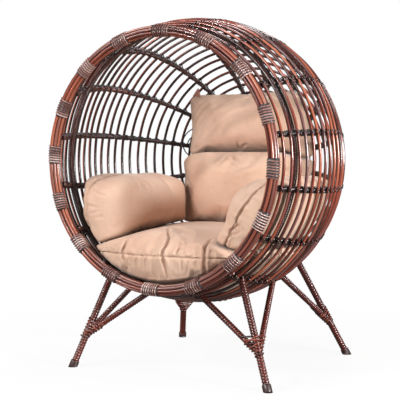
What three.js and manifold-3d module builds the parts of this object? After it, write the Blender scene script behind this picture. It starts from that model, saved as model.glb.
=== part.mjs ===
// A round wicker basket chair on four splayed legs, with loose seat, arm and back cushions.
//
// Lengths are millimetres, +Z is up, the open side faces -Y and +X is to the right of someone facing
// the chair. The origin is on the floor under the middle of the whole chair.
//
// The basket is a body of revolution about an axis that runs front to back. Its section, the shell
// line, is the line through the middles of the thin hoops: part of an ellipse in front of the widest
// place and a quarter circle behind it. Places on it are given by their distance from the rim,
// measured along the line.

import * as THREE from 'three';
import { mergeVertices } from 'three/addons/utils/BufferGeometryUtils.js';
import Module from 'manifold-3d';

const wasm = await Module();
wasm.setup();

// ---- driving dimensions ------------------------------------------------------------------------

const FIT_GAP = 0.3; // left between pieces that touch

// basket
const BASKET_RADIUS = 475; // to the outside of the hoops at the widest place
const BASKET_HEIGHT = 698; // of the basket's axis above the floor
const FRONT_STRETCH = 91; // how much longer than round the section is in front of the widest place
const RIM_DISTANCE = 290; // from the widest place to the middle of the rim

// rim bundle and main hoop
const RIM_OUTSET = 5; // of the bundle's middle from the shell line
const RIM_BUNDLE = 36; // across the bundle
const MAIN_HOOP_DIAMETER = 20;
const MAIN_HOOP_FROM_RIM = 112;

// thin hoops, from the rim to the back
const HOOP_COUNT = 26;
const HOOP_DIAMETER = 9;
const FIRST_HOOP_FROM_RIM = 45;
const LAST_HOOP_TO_HUB = 38; // clear of the hub's edge, along the shell

// ribs and the hub that they meet at
const RIB_COUNT = 16;
const RIB_WIDTH = 17;
const RIB_DEPTH = 17;
const RIB_WEB = 4; // left of a rib where it is notched round the main hoop
const HUB_RADIUS = 95;
const HUB_THICKNESS = 26;
const HUB_EDGE = 5; // cut off its corners

// legs: a main tube and two braces, lashed together
const LEG_DIAMETER = 24;
const BRACE_DIAMETER = 20;
const LASHING_DIAMETER = 40;
const LASHING_LENGTH = 48;
const LASHING_PLACE = 0.42; // of the way up the main tube
const BRACE_PLACE = 0.37; // where the braces end on it
const BRACE_OFFSET = 11; // of a brace's end from the middle of the main tube
const FOOT_DIAMETER = 29;
const FOOT_LENGTH = 24;
const FRONT_FEET = { fromSide: 105, fromEnd: 43 }; // under the basket, in from its side and its rim
const BACK_FEET = { fromSide: 127, fromEnd: 46 }; // in from its side and its back
// where tubes meet the basket: a hoop, and degrees round from the top
const FRONT_LEG_TOP = { hoop: 3, turn: 146.5 };
const FRONT_INNER_BRACE_TOP = { hoop: 3, turn: 167 };
const FRONT_SIDE_BRACE_TOP = { hoop: 9, turn: 147.5 };
const BACK_LEG_TOP = { hoop: 16, turn: 146 };
const BACK_INNER_BRACE_TOP = { hoop: 18, turn: 168 };
const BACK_SIDE_BRACE_TOP = { hoop: 11, turn: 147 };

// cushions; a reach is half of a cushion's size before the basket and its neighbours cut it back
const CUSHION_CLEARANCE = 0.7; // to the ribs
const SEAT_THICKNESS = 221; // over the lowest ribs, where the top is flat
const SEAT_REACH = { x: 360, y: 292, z: 175 };
const SEAT_MIDDLE = { back: -20, up: 149 }; // from the basket's middle and from the lowest ribs
const SEAT_EDGE = { side: 150, back: 40 }; // where the top starts to fall outwards and forwards
const SEAT_SIDE_FALL = 12; // degrees
const SEAT_FRONT_FALL = 6;
const ARM_REACH = { x: 160, y: 245, z: 162 };
const ARM_MIDDLE = { fromSide: 114, back: -5, up: 16 }; // from the ribs beside it and the seat's top
const ARM_TO_BACK = 11; // between an arm cushion's end and the front of the back cushion
const ARM_CLEARANCE = 18; // to the ribs, which they stand clear of
const BACK_HEIGHT = 259; // from the seat's top to the seam under the headrest
const BACK_REACH = { x: 260, y: 130, z: 190 };
const BACK_MIDDLE = { fromBack: 119, up: 123 }; // from the ribs behind it and the seat's top
const HEADREST_REACH = { x: 240, y: 92, z: 116 };
const HEADREST_MIDDLE = { fromBack: 99, up: 94 }; // from the ribs behind it and the seam
const HEADREST_CLEARANCE = 5; // to the ribs, which it doesn't lean on
const ROUND_PILLOW = 2.6; // how boxy a cushion is: 2 is an ellipsoid
const BOLSTER = 4.5;
const SQUARE_PILLOW = 5;

// facets: round things are many-sided here
const RIM_CORNERS = 8; // of the bundle's section
const MAIN_HOOP_CORNERS = 8;
const HOOP_CORNERS = 4;
const TUBE_SIDES = 8;
const FOOT_SIDES = 12;
const SEAT_FACETS = { around: 32, rings: 14 };
const ARM_FACETS = { around: 24, rings: 16 };
const BACK_FACETS = { around: 32, rings: 14 };

// ---- materials ---------------------------------------------------------------------------------

const CANE = new THREE.MeshStandardMaterial({ color: 0x7a3a26, roughness: 0.35, metalness: 0 });
const WRAPPED_FRAME = new THREE.MeshStandardMaterial({ color: 0x4c231a, roughness: 0.45, metalness: 0 });
const WRAPPED_LEG = new THREE.MeshStandardMaterial({ color: 0x6b2f22, roughness: 0.4, metalness: 0 });
const FABRIC = new THREE.MeshStandardMaterial({ color: 0xdab894, roughness: 0.9, metalness: 0 });
const FOOT_RUBBER = new THREE.MeshStandardMaterial({ color: 0x2a1713, roughness: 0.7, metalness: 0 });

// ---- sizes that follow -------------------------------------------------------------------------

const shellRadius = BASKET_RADIUS - HOOP_DIAMETER / 2;
const shellFront = shellRadius + FRONT_STRETCH;
const rimFront = RIM_DISTANCE + RIM_BUNDLE / 2;
const basketMiddle = new THREE.Vector3(0, (rimFront - BASKET_RADIUS) / 2, BASKET_HEIGHT);

const ribOuterInset = HOOP_DIAMETER / 2 + FIT_GAP;
const ribInnerInset = ribOuterInset + RIB_DEPTH;
const mainHoopInset = ribOuterInset + RIB_WEB + FIT_GAP + MAIN_HOOP_DIAMETER / 2;
const hubBack = shellRadius - ribOuterInset;
const hubFront = hubBack - HUB_THICKNESS;

const ribStep = (2 * Math.PI) / RIB_COUNT;
const firstRibTurn = ribStep / 2;
const largeRingSides = 2 * RIB_COUNT;
const smallRingSides = RIB_COUNT;
const smallRingRadius = shellRadius / 2;

const shell = new THREE.CurvePath();
const rimAngle = Math.acos(RIM_DISTANCE / shellFront);
const rimRadius = shellRadius * Math.sin(rimAngle) + RIM_OUTSET;
shell.add(new THREE.EllipseCurve(0, 0, shellFront, shellRadius, rimAngle, Math.PI / 2, false));
shell.add(new THREE.EllipseCurve(0, 0, shellRadius, shellRadius, Math.PI / 2, Math.PI, false));
const shellLength = shell.getLength();

const lastHoopFromRim = shellLength - HUB_RADIUS - LAST_HOOP_TO_HUB;
const hoopPitch = (lastHoopFromRim - FIRST_HOOP_FROM_RIM) / (HOOP_COUNT - 1);

function hoopPlace(number) {
  return FIRST_HOOP_FROM_RIM + (number - 1) * hoopPitch;
}

// ---- the shell line ----------------------------------------------------------------------------

// A point of the section: x is the distance from the axis and y runs to the back. It lies a
// distance along the shell line, then a step further back along the line and an inset towards the
// inside.
function sectionPoint(distance, along, inset) {
  const place = distance / shellLength;
  const point = shell.getPoint(place);
  const tangent = shell.getTangent(place);
  const forward = point.x + along * tangent.x - inset * tangent.y;
  const radius = point.y + along * tangent.y + inset * tangent.x;
  return new THREE.Vector2(radius, -forward);
}

// A point in space that is on the shell line, turned round the basket's axis from the top.
function shellPoint(distance, turn, inset) {
  const point = sectionPoint(distance, 0, inset);
  return new THREE.Vector3(
    basketMiddle.x + point.x * Math.sin(turn),
    basketMiddle.y + point.y,
    basketMiddle.z + point.x * Math.cos(turn),
  );
}

// ---- building helpers --------------------------------------------------------------------------

const chair = new THREE.Group();

function addMesh(name, geometry, material, position) {
  const mesh = new THREE.Mesh(geometry, material);
  mesh.name = name;
  mesh.position.copy(position);
  chair.add(mesh);
  return mesh;
}

// A ring or disc about the basket's axis. Its facets are centred on the ribs, where they lie at the
// radii that the section gives.
function turnedGeometry(section, sides) {
  const facet = (2 * Math.PI) / sides;
  const widen = 1 / Math.cos(facet / 2);
  const points = section.map((point) => new THREE.Vector2(point.x * widen, point.y));
  return new THREE.LatheGeometry(points, sides, firstRibTurn - facet / 2);
}

function ringSides(radius) {
  return radius < smallRingRadius ? smallRingSides : largeRingSides;
}

// A ring whose section is a regular polygon with a flat face to the inside and one to the outside.
function ringGeometry(distance, inset, diameter, corners) {
  const cornerReach = diameter / 2 / Math.cos(Math.PI / corners);
  const section = [];
  for (let corner = 0; corner <= corners; corner += 1) {
    const angle = ((corner % corners) + 0.5) * ((2 * Math.PI) / corners);
    const along = cornerReach * Math.cos(angle);
    section.push(sectionPoint(distance, -along, inset - cornerReach * Math.sin(angle)));
  }
  return turnedGeometry(section, ringSides(section[0].x));
}

const SAME_POINT = 1e-4;

function asSolid(geometry) {
  const bare = geometry.clone();
  bare.deleteAttribute('normal');
  bare.deleteAttribute('uv');
  const merged = mergeVertices(bare, SAME_POINT);
  const vertProperties = new Float32Array(merged.attributes.position.array);
  const triVerts = new Uint32Array(merged.index.array);
  return new wasm.Manifold(new wasm.Mesh({ numProp: 3, vertProperties, triVerts }));
}

function asGeometry(solid) {
  const mesh = solid.getMesh();
  const geometry = new THREE.BufferGeometry();
  geometry.setAttribute('position', new THREE.BufferAttribute(new Float32Array(mesh.vertProperties), 3));
  geometry.setIndex(new THREE.BufferAttribute(new Uint32Array(mesh.triVerts), 1));
  return geometry;
}

const UP = new THREE.Vector3(0, 1, 0);

// A round bar between two points.
function barSolid(start, end, diameter, sides) {
  const run = new THREE.Vector3().subVectors(end, start);
  const geometry = new THREE.CylinderGeometry(diameter / 2, diameter / 2, run.length(), sides);
  const turn = new THREE.Quaternion().setFromUnitVectors(UP, run.clone().normalize());
  const middle = new THREE.Vector3().addVectors(start, end).multiplyScalar(0.5);
  geometry.applyQuaternion(turn);
  geometry.translate(middle.x, middle.y, middle.z);
  return asSolid(geometry);
}

// ---- basket ------------------------------------------------------------------------------------

function addRim() {
  const cornerReach = RIM_BUNDLE / 2 / Math.cos(Math.PI / RIM_CORNERS);
  const section = [];
  for (let corner = 0; corner <= RIM_CORNERS; corner += 1) {
    const angle = ((corner % RIM_CORNERS) + 0.5) * ((2 * Math.PI) / RIM_CORNERS);
    const radius = rimRadius + cornerReach * Math.cos(angle);
    section.push(new THREE.Vector2(radius, -RIM_DISTANCE + cornerReach * Math.sin(angle)));
  }
  addMesh('rim_bundle', turnedGeometry(section, largeRingSides), CANE, basketMiddle);
}

function addHoops() {
  const geometry = ringGeometry(MAIN_HOOP_FROM_RIM, mainHoopInset, MAIN_HOOP_DIAMETER, MAIN_HOOP_CORNERS);
  addMesh('main_hoop', geometry, WRAPPED_FRAME, basketMiddle);
  for (let number = 1; number <= HOOP_COUNT; number += 1) {
    const name = `hoop_${String(number).padStart(2, '0')}`;
    const hoop = ringGeometry(hoopPlace(number), 0, HOOP_DIAMETER, HOOP_CORNERS);
    addMesh(name, hoop, CANE, basketMiddle);
  }
}

// The outline of a rib in the plane of the basket's axis. Its outer edge has a corner under each
// hoop, its front end meets the rim, its back end meets the hub and a notch holds the main hoop.
function ribOutline() {
  const frontEnd = -RIM_DISTANCE + RIM_BUNDLE / 2 + FIT_GAP;
  const backEnd = HUB_RADIUS + FIT_GAP;
  const endRadius = shellRadius * Math.sqrt(1 - (frontEnd / shellFront) ** 2);
  const endDepth = Math.sqrt(shellRadius ** 2 - backEnd ** 2);
  const outer = [new THREE.Vector2(endRadius - ribOuterInset, frontEnd)];
  const inner = [new THREE.Vector2(endRadius - ribInnerInset, frontEnd)];
  const notchReach = MAIN_HOOP_DIAMETER / 2 + FIT_GAP;
  let notched = false;
  for (let number = 1; number <= HOOP_COUNT; number += 1) {
    const place = hoopPlace(number);
    outer.push(sectionPoint(place, 0, ribOuterInset));
    if (!notched && place > MAIN_HOOP_FROM_RIM) {
      inner.push(sectionPoint(MAIN_HOOP_FROM_RIM, -notchReach, ribInnerInset));
      inner.push(sectionPoint(MAIN_HOOP_FROM_RIM, -notchReach, ribOuterInset + RIB_WEB));
      inner.push(sectionPoint(MAIN_HOOP_FROM_RIM, notchReach, ribOuterInset + RIB_WEB));
      inner.push(sectionPoint(MAIN_HOOP_FROM_RIM, notchReach, ribInnerInset));
      notched = true;
    }
    if (Math.abs(place - MAIN_HOOP_FROM_RIM) > 2 * notchReach) {
      inner.push(sectionPoint(place, 0, ribInnerInset));
    }
  }
  outer.push(new THREE.Vector2(backEnd, endDepth - ribOuterInset));
  inner.push(new THREE.Vector2(backEnd, endDepth - ribInnerInset));
  return new THREE.Shape([...outer, ...inner.reverse()]);
}

function addRibs() {
  const geometry = new THREE.ExtrudeGeometry(ribOutline(), { depth: RIB_WIDTH, bevelEnabled: false });
  geometry.translate(0, 0, -RIB_WIDTH / 2);
  for (let number = 1; number <= RIB_COUNT; number += 1) {
    const name = `rib_${String(number).padStart(2, '0')}`;
    const turn = firstRibTurn + (number - 1) * ribStep;
    const rib = addMesh(name, geometry, WRAPPED_FRAME, basketMiddle);
    rib.rotation.y = turn - Math.PI / 2;
  }
}

function addHub() {
  const section = [
    new THREE.Vector2(0, hubFront),
    new THREE.Vector2(HUB_RADIUS - HUB_EDGE, hubFront),
    new THREE.Vector2(HUB_RADIUS, hubFront + HUB_EDGE),
    new THREE.Vector2(HUB_RADIUS, hubBack - HUB_EDGE),
    new THREE.Vector2(HUB_RADIUS - HUB_EDGE, hubBack),
    new THREE.Vector2(0, hubBack),
  ];
  addMesh('back_hub', turnedGeometry(section, smallRingSides), WRAPPED_FRAME, basketMiddle);
}

// ---- legs --------------------------------------------------------------------------------------

// The space that the legs stop at: the outside of the hoops and the fit gap.
function basketEnvelope() {
  const half = HOOP_DIAMETER / 2;
  const section = [new THREE.Vector2(0, sectionPoint(hoopPlace(1), -half, -half - FIT_GAP).y)];
  for (let number = 1; number <= HOOP_COUNT; number += 1) {
    section.push(sectionPoint(hoopPlace(number), -half, -half - FIT_GAP));
    section.push(sectionPoint(hoopPlace(number), half, -half - FIT_GAP));
  }
  section.push(new THREE.Vector2(0, section[section.length - 1].y));
  const geometry = turnedGeometry(section, largeRingSides);
  geometry.translate(basketMiddle.x, basketMiddle.y, basketMiddle.z);
  return asSolid(geometry);
}

function halfSpaceAboveFloor() {
  const size = 4 * BASKET_RADIUS; // wider than the chair
  const geometry = new THREE.BoxGeometry(size, size, size);
  geometry.translate(0, 0, size / 2);
  return asSolid(geometry);
}

const envelope = basketEnvelope();
const aboveFloor = halfSpaceAboveFloor();

// The end of a tube inside the hoop that it meets, mirrored for the left side. The tube is cut
// back to the outside of the basket afterwards.
function tubeTop(top, side) {
  const turn = THREE.MathUtils.degToRad(top.turn) * side;
  return shellPoint(hoopPlace(top.hoop), turn, LEG_DIAMETER / 2);
}

function pointBetween(start, end, share) {
  return new THREE.Vector3().lerpVectors(start, end, share);
}

function addLeg(name, side, foot, tops) {
  const floorPoint = new THREE.Vector3(side * foot.x, basketMiddle.y + foot.y, 0);
  const legTop = tubeTop(tops.leg, side);
  const axis = new THREE.Vector3().subVectors(legTop, floorPoint).normalize();
  const capEnd = floorPoint.clone().addScaledVector(axis, FOOT_LENGTH);
  const legStart = capEnd.clone().addScaledVector(axis, FIT_GAP);
  const belowFloor = floorPoint.clone().addScaledVector(axis, -FOOT_LENGTH);
  const cap = barSolid(belowFloor, capEnd, FOOT_DIAMETER, FOOT_SIDES).intersect(aboveFloor);
  addMesh(`foot_${name}`, asGeometry(cap), FOOT_RUBBER, new THREE.Vector3());

  const joint = pointBetween(floorPoint, legTop, LASHING_PLACE);
  const lashingStart = joint.clone().addScaledVector(axis, -LASHING_LENGTH / 2);
  const lashingEnd = joint.clone().addScaledVector(axis, LASHING_LENGTH / 2);
  const braceEnd = pointBetween(floorPoint, legTop, BRACE_PLACE);
  const innerBraceEnd = braceEnd.clone();
  innerBraceEnd.x -= side * BRACE_OFFSET;
  const outerBraceEnd = braceEnd.clone();
  outerBraceEnd.y -= Math.sign(foot.y) * BRACE_OFFSET;
  const leg = barSolid(legStart, legTop, LEG_DIAMETER, TUBE_SIDES)
    .add(barSolid(lashingStart, lashingEnd, LASHING_DIAMETER, TUBE_SIDES))
    .add(barSolid(innerBraceEnd, tubeTop(tops.inner, side), BRACE_DIAMETER, TUBE_SIDES))
    .add(barSolid(outerBraceEnd, tubeTop(tops.outer, side), BRACE_DIAMETER, TUBE_SIDES))
    .subtract(envelope);
  addMesh(`leg_${name}`, asGeometry(leg), WRAPPED_LEG, new THREE.Vector3());
}

function addLegs() {
  const frontFoot = {
    x: BASKET_RADIUS - FRONT_FEET.fromSide,
    y: FRONT_FEET.fromEnd - RIM_DISTANCE,
  };
  const backFoot = {
    x: BASKET_RADIUS - BACK_FEET.fromSide,
    y: BASKET_RADIUS - BACK_FEET.fromEnd,
  };
  const front = { leg: FRONT_LEG_TOP, inner: FRONT_INNER_BRACE_TOP, outer: FRONT_SIDE_BRACE_TOP };
  const back = { leg: BACK_LEG_TOP, inner: BACK_INNER_BRACE_TOP, outer: BACK_SIDE_BRACE_TOP };
  for (const [sideName, side] of [['left', -1], ['right', 1]]) {
    addLeg(`front_${sideName}`, side, frontFoot, front);
    addLeg(`back_${sideName}`, side, backFoot, back);
  }
}

// ---- cushions ----------------------------------------------------------------------------------

// The cushions are made in a frame whose origin is the middle of the basket.

const insideOfRibs = shellRadius - ribInnerInset;
const seatTop = SEAT_THICKNESS - insideOfRibs;
const backSeam = seatTop + BACK_HEIGHT;
const seatMiddle = new THREE.Vector3(0, SEAT_MIDDLE.back, SEAT_MIDDLE.up - insideOfRibs);
const backMiddle = new THREE.Vector3(0, insideOfRibs - BACK_MIDDLE.fromBack, seatTop + BACK_MIDDLE.up);
const armEnd = backMiddle.y - BACK_REACH.y - ARM_TO_BACK;

// Each limit is a function of a point that is negative inside the space the cushion may fill.

function insideRibs(clearance) {
  const inset = ribInnerInset + clearance;
  const radius = shellRadius - inset;
  const front = shellFront - inset;
  return (point) => {
    const depth = point.y < 0 ? point.y / front : point.y / radius;
    return Math.hypot(point.x / radius, depth, point.z / radius) - 1;
  };
}

// The cone that touches the inner side of the main hoop.
function insideMainHoop(clearance) {
  const inset = mainHoopInset + MAIN_HOOP_DIAMETER / 2 + clearance;
  const touch = sectionPoint(MAIN_HOOP_FROM_RIM, 0, inset);
  const outward = sectionPoint(MAIN_HOOP_FROM_RIM, 0, inset - 1).sub(touch);
  return (point) => {
    const radius = Math.hypot(point.x, point.z);
    return (radius - touch.x) * outward.x + (point.y - touch.y) * outward.y;
  };
}

const seatSideSlope = Math.tan(THREE.MathUtils.degToRad(SEAT_SIDE_FALL));
const seatFrontSlope = Math.tan(THREE.MathUtils.degToRad(SEAT_FRONT_FALL));
const seatGap = FIT_GAP * Math.hypot(1, seatSideSlope, seatFrontSlope);

// The height of the sloping plane that an arm cushion rests on.
function seatSlope(point) {
  const outward = Math.abs(point.x) - SEAT_EDGE.side;
  const forward = SEAT_EDGE.back - point.y;
  return seatTop - seatSideSlope * outward - seatFrontSlope * forward;
}

const belowSeatTop = (point) => point.z - seatTop;
const belowSeatSlope = (point) => point.z - seatSlope(point);
const aboveSeatTop = (point) => seatTop + FIT_GAP - point.z;
const aboveSeatSlope = (point) => seatSlope(point) + seatGap - point.z;
const inFrontOfBack = (point) => point.y - armEnd;
const inFrontOfHub = (point) => point.y - hubFront + CUSHION_CLEARANCE;
const belowBackSeam = (point) => point.z - backSeam;
const aboveBackSeam = (point) => backSeam + FIT_GAP - point.z;

const SEARCH_STEPS = 40;

// A puffed form about its centre, cut back wherever a limit is reached.
function cushionGeometry(middle, reach, power, limits, facets) {
  const geometry = new THREE.SphereGeometry(1, facets.around, facets.rings);
  geometry.rotateX(Math.PI / 2);
  const positions = geometry.attributes.position;
  const direction = new THREE.Vector3();
  const point = new THREE.Vector3();
  for (let index = 0; index < positions.count; index += 1) {
    direction.fromBufferAttribute(positions, index).normalize();
    const total =
      Math.abs(direction.x / reach.x) ** power +
      Math.abs(direction.y / reach.y) ** power +
      Math.abs(direction.z / reach.z) ** power;
    let inside = 0;
    let outside = total ** (-1 / power);
    point.copy(middle).addScaledVector(direction, outside);
    if (limits.every((limit) => limit(point) <= 0)) {
      inside = outside;
    }
    for (let step = 0; step < SEARCH_STEPS && inside < outside; step += 1) {
      const halfway = (inside + outside) / 2;
      point.copy(middle).addScaledVector(direction, halfway);
      if (limits.every((limit) => limit(point) <= 0)) {
        inside = halfway;
      } else {
        outside = halfway;
      }
    }
    point.copy(middle).addScaledVector(direction, inside);
    positions.setXYZ(index, point.x, point.y, point.z);
  }
  return geometry;
}

function addCushions() {
  const clearOfRibs = insideRibs(CUSHION_CLEARANCE);
  const clearOfHoop = insideMainHoop(CUSHION_CLEARANCE);
  const seatLimits = [clearOfRibs, clearOfHoop, belowSeatTop, belowSeatSlope];
  const seat = cushionGeometry(seatMiddle, SEAT_REACH, ROUND_PILLOW, seatLimits, SEAT_FACETS);
  addMesh('seat_cushion', seat, FABRIC, basketMiddle);
  const armLimits = [insideRibs(ARM_CLEARANCE), clearOfHoop, aboveSeatSlope, inFrontOfBack];
  for (const [sideName, side] of [['left', -1], ['right', 1]]) {
    const armSide = side * (insideOfRibs - ARM_MIDDLE.fromSide);
    const armMiddle = new THREE.Vector3(armSide, ARM_MIDDLE.back, seatTop + ARM_MIDDLE.up);
    const arm = cushionGeometry(armMiddle, ARM_REACH, BOLSTER, armLimits, ARM_FACETS);
    addMesh(`arm_cushion_${sideName}`, arm, FABRIC, basketMiddle);
  }
  const backLimits = [clearOfRibs, inFrontOfHub, aboveSeatTop, belowBackSeam];
  const back = cushionGeometry(backMiddle, BACK_REACH, SQUARE_PILLOW, backLimits, BACK_FACETS);
  addMesh('back_cushion', back, FABRIC, basketMiddle);
  const headLimits = [insideRibs(HEADREST_CLEARANCE), inFrontOfHub, aboveBackSeam];
  const headMiddle = new THREE.Vector3(
    0,
    insideOfRibs - HEADREST_MIDDLE.fromBack,
    backSeam + HEADREST_MIDDLE.up,
  );
  const headrest = cushionGeometry(headMiddle, HEADREST_REACH, SQUARE_PILLOW, headLimits, BACK_FACETS);
  addMesh('headrest_cushion', headrest, FABRIC, basketMiddle);
}

addRim();
addHoops();
addRibs();
addHub();
addLegs();
addCushions();

export default chair;
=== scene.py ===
"""A round wicker basket chair on four splayed legs, with loose tan cushions.

Everything is in metres in the part's own frame: +Z is up, the open side faces -Y and the floor is
at zero. The basket is a body of revolution about an axis that runs front to back. A place on it is
a distance along its shell line from the rim, and a turn round the axis from the top.
"""

import math

import bpy
import numpy as np
from mathutils import Euler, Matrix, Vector, noise
from mathutils.bvhtree import BVHTree
from mathutils.geometry import convex_hull_2d


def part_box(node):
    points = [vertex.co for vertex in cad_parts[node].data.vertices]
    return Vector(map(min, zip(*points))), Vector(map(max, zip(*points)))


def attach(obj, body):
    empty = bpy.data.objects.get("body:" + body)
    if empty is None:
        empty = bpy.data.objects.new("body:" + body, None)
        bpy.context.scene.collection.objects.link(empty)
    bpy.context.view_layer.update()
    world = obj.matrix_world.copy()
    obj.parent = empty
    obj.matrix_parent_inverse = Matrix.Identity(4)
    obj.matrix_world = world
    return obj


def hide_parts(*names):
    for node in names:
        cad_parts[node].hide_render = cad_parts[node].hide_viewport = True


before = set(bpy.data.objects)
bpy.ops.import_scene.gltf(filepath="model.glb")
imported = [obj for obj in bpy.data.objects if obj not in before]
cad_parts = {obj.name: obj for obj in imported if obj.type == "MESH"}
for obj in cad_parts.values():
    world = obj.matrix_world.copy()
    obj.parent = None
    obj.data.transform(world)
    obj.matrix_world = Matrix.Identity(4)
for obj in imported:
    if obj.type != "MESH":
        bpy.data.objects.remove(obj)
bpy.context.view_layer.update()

# ---- driving dimensions --------------------------------------------------------------------------

# basket
BASKET_RADIUS = 0.475
FRONT_STRETCH = 0.091  # how much longer than round the section is in front of the widest place
RIM_DISTANCE = 0.290  # from the widest place to the middle of the rim
HOOP_COUNT = 26
HOOP_DIAMETER = 0.009
VISIBLE_CANE = 0.0098  # a hoop with the ridges of its cane
MAIN_HOOP_DIAMETER = 0.020
RIB_COUNT = 16
RIB_DIAMETER = 0.017
FIT_GAP = 0.0003

# rim bundle: canes laid round a core and bound at even places
RIM_BUNDLE = 0.036
RIM_CANES = 8
RIM_CANE_DIAMETER = 0.0096
BINDING_COUNT = 16
BINDING_TURN = math.radians(2.9)  # of the first one, from the top
BINDING_LENGTH = 0.058
BINDING_TURNS = 7
BINDING_STRAND = 0.0050
BINDING_THICKNESS = 0.0052
BINDING_DIP = 0.0028  # how far the strand sinks between two canes

# wound strand
FRAME_STRAND_PITCH = 0.0078
LEG_STRAND_PITCH = 0.0095
STRAND_RELIEF = 0.0034
KNOT_STRAND = 0.0036

# legs: what they meet, as a hoop's number and a turn in degrees from the top
LEG_DIAMETER = 0.024
BRACE_DIAMETER = 0.020
FOOT_DIAMETER = 0.029
FOOT_LENGTH = 0.024
LASHING_PLACE = 0.42  # of the way up the main tube
LASHING_LOOPS = 12
LASHING_LENGTH = 0.060
LASHING_LEAN = 0.24  # of each loop against the next
BRACE_PLACE = 0.37
BRACE_OFFSET = 0.011
LEGS = {
    "front": {"foot": (0.370, -0.247), "leg": (3, 146.5), "inner": (3, 167), "side": (9, 147.5)},
    "back": {"foot": (0.348, 0.429), "leg": (16, 146), "inner": (18, 168), "side": (11, 147)},
}

# camera
CAMERA_PLACE = (1.741, -3.0565, 0.713)
CAMERA_AZIMUTH = 30.56  # degrees
CAMERA_ELEVATION = 2.46
CAMERA_LENS = 91.4  # mm
SENSOR = 36.0  # mm
PICTURE = 400  # pixels across the picture that the creases are read from

# floor and light
FLOOR_TO_CAMERA = (0.93, 0.925, 0.92)
FLOOR_TO_OTHER_RAYS = (0.18, 0.17, 0.16)
AMBIENT = 0.18
REFLECTED_SKY = 0.17
LAMPS = [  # name, place, diameter and watts
    ("key", (-1.46, -3.45, 2.9), 0.18, 54),
    ("soft_key", (-2.6, -2.9, 2.5), 1.1, 46),
    ("fill", (-0.5, -4.4, 2.2), 0.9, 70),
    ("side", (3.6, -0.7, 1.1), 0.9, 145),
    ("top", (0.1, 0.2, 3.4), 0.6, 24),
    ("rear", (1.6, 4.0, 2.6), 1.2, 36),
]
SPOT = ("head_light", (-0.9, -4.0, 1.35), 0.4, 0.15)  # a narrow lamp for the shaded headrest
LAMP_TARGET = (0, 0, 0.65)
SPOT_TARGET = (-0.06, 0.2, 0.93)
SPOT_SPREAD = math.radians(12)

# ---- the shell line ------------------------------------------------------------------------------

SHELL_STEPS = 4000

shell_radius = BASKET_RADIUS - HOOP_DIAMETER / 2
rim_low, rim_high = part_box("rim_bundle")
middle = Vector((0, (rim_low.y + rim_high.y) / 2 + RIM_DISTANCE, (rim_low.z + rim_high.z) / 2))


def shell_line():
    """Distance from the rim, radius and place along Y at close points of the shell line."""
    front = shell_radius + FRONT_STRETCH
    rim_angle = math.acos(RIM_DISTANCE / front)
    forward = np.linspace(rim_angle, math.pi / 2, SHELL_STEPS)
    behind = np.linspace(math.pi / 2, math.pi, SHELL_STEPS)[1:]
    radius = shell_radius * np.sin(np.concatenate([forward, behind]))
    place = np.concatenate([-front * np.cos(forward), -shell_radius * np.cos(behind)])
    steps = np.hypot(np.diff(radius), np.diff(place))
    return np.concatenate([[0], np.cumsum(steps)]), radius, place


shell_distance, shell_reach, shell_place = shell_line()


def section_point(distance, inset=0.0):
    """(radius, y) at a distance along the shell line, then an inset towards the inside."""
    step = 1e-4
    here = np.array([np.interp(distance, shell_distance, a) for a in (shell_reach, shell_place)])
    ahead, back = (
        np.array([np.interp(d, shell_distance, a) for a in (shell_reach, shell_place)])
        for d in (distance + step, distance - step)
    )
    tangent = ahead - back
    tangent /= np.linalg.norm(tangent, axis=0)
    return here + inset * np.array([-tangent[1], tangent[0]])


def space_point(radius, place, turn):
    """Points at a radius and a place along Y, turned round the basket's axis from the top."""
    turn = np.asarray(turn, float)
    x = middle.x + radius * np.sin(turn)
    y = middle.y + place + np.zeros_like(x)
    return np.stack([x, y, middle.z + radius * np.cos(turn)], -1)


def vertices(node):
    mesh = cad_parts[node].data
    places = np.empty(len(mesh.vertices) * 3)
    mesh.vertices.foreach_get("co", places)
    return places.reshape(-1, 3)


def ring_of(node):
    """(radius, y) of the middle of a ring node's section. Its facets are centred on the ribs."""
    places = vertices(node) - np.array(middle)
    reach = np.hypot(places[:, 0], places[:, 2])
    turns = np.degrees(np.arctan2(places[:, 0], places[:, 2])).round(1) % 360
    facet = math.cos(math.pi / len(set(turns)))
    radius = (reach.max() + reach.min()) / 2 * facet
    return radius, (places[:, 1].max() + places[:, 1].min()) / 2


# ---- mesh helpers --------------------------------------------------------------------------------


def mesh_object(name, places, faces, uvs=None, smooth=True):
    """A mesh object from arrays of points and of four-cornered faces."""
    mesh = bpy.data.meshes.new(name)
    faces = np.asarray(faces, np.int32)
    mesh.vertices.add(len(places))
    mesh.vertices.foreach_set("co", np.asarray(places, np.float32).ravel())
    mesh.loops.add(faces.size)
    mesh.loops.foreach_set("vertex_index", faces.ravel())
    mesh.polygons.add(len(faces))
    mesh.polygons.foreach_set("loop_start", np.arange(len(faces), dtype=np.int32) * 4)
    mesh.polygons.foreach_set("use_smooth", np.full(len(faces), smooth))
    if uvs is not None:
        layer = mesh.uv_layers.new(name="UVMap")
        layer.data.foreach_set("uv", np.asarray(uvs, np.float32).ravel())
    mesh.update(calc_edges=True)
    mesh.validate()
    piece = bpy.data.objects.new(name, mesh)
    bpy.context.scene.collection.objects.link(piece)
    return piece


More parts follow.
